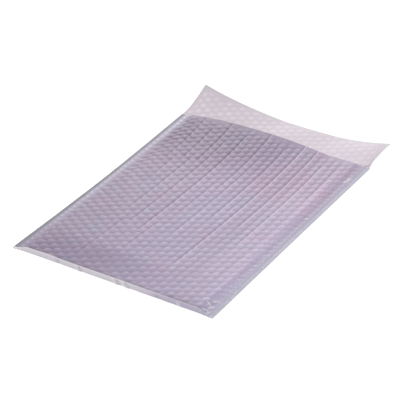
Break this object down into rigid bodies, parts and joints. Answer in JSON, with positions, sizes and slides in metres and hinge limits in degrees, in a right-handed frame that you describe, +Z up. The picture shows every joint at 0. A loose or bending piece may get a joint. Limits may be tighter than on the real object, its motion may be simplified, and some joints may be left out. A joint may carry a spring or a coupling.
{
  "type": "padded envelope",
  "caption": "Flat padded mailing envelope of lilac-grey film over a pink bubble liner, folded along the bottom, welded down both sides, with an open curled flap.",
  "frame": {"origin": "on the floor, below the middle of the whole outline, flap included", "axes": "+X across the envelope, +Y from the bottom fold to the flap, +Z up out of the front panel"},
  "size_m": [0.27, 0.406, 0.0163],
  "materials": {
    "lilac_film": "pearly translucent film, soft sheen",
    "pink_liner": "pale pink translucent film, soft sheen"
  },
  "bodies": {
    "root": {"outer_film": "lilac_film", "bubble_liner": "pink_liner"}
  },
  "joints": []
}
